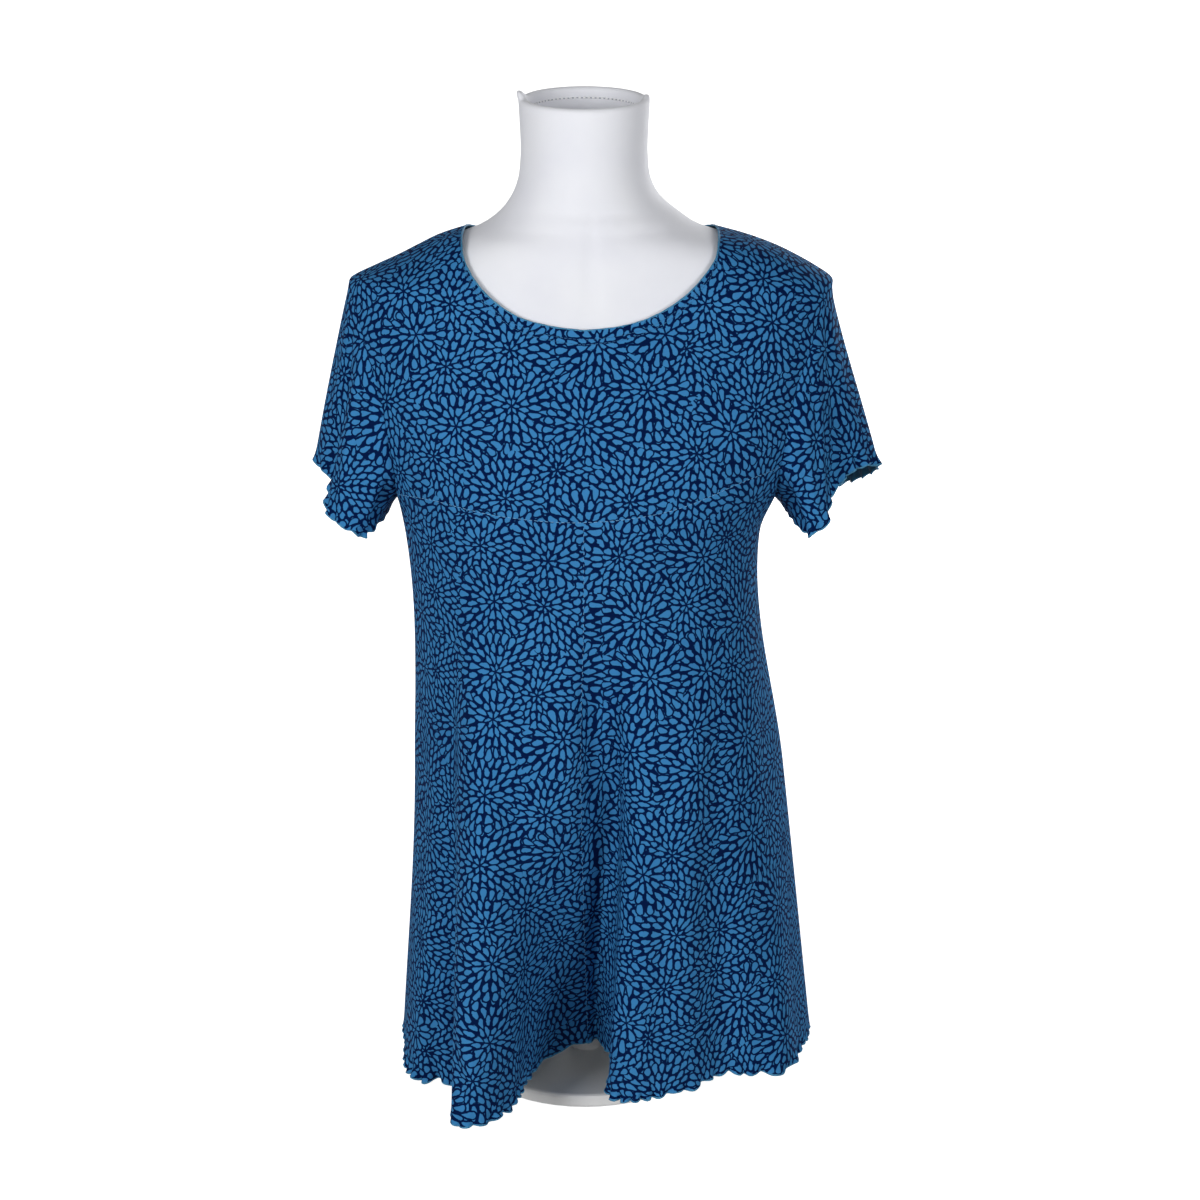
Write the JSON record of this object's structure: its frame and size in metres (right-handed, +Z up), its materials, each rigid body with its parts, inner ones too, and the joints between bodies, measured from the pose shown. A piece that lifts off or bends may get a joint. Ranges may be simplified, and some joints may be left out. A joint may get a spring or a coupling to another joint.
{
  "type": "t-shirt on a dress form",
  "caption": "Short-sleeved A-line t-shirt with a scoop neck, a seam below the bust and wavy hems, worn by a limbless dress form on a round stand.",
  "frame": {"origin": "on the floor, on the underside of the base, straight below the neck of the form", "axes": "+Z up, -Y towards the front of the shirt, +X to the right as seen from the front"},
  "size_m": [0.4805, 0.3049, 0.8669],
  "materials": {
    "jersey": "soft cotton and viscose jersey, printed with bursts of mid-blue petals on navy",
    "form_cover": "white stretch cloth drawn tight over the form, fine and matt",
    "enamel": "white baked enamel, half gloss"
  },
  "bodies": {
    "root": {"front_yoke": "jersey", "front_panel_left": "jersey", "front_panel_right": "jersey", "back_panel": "jersey", "sleeve_left": "jersey", "sleeve_right": "jersey", "dress_form": "form_cover", "stand_base": "enamel", "stand_pole": "enamel"}
  },
  "joints": []
}
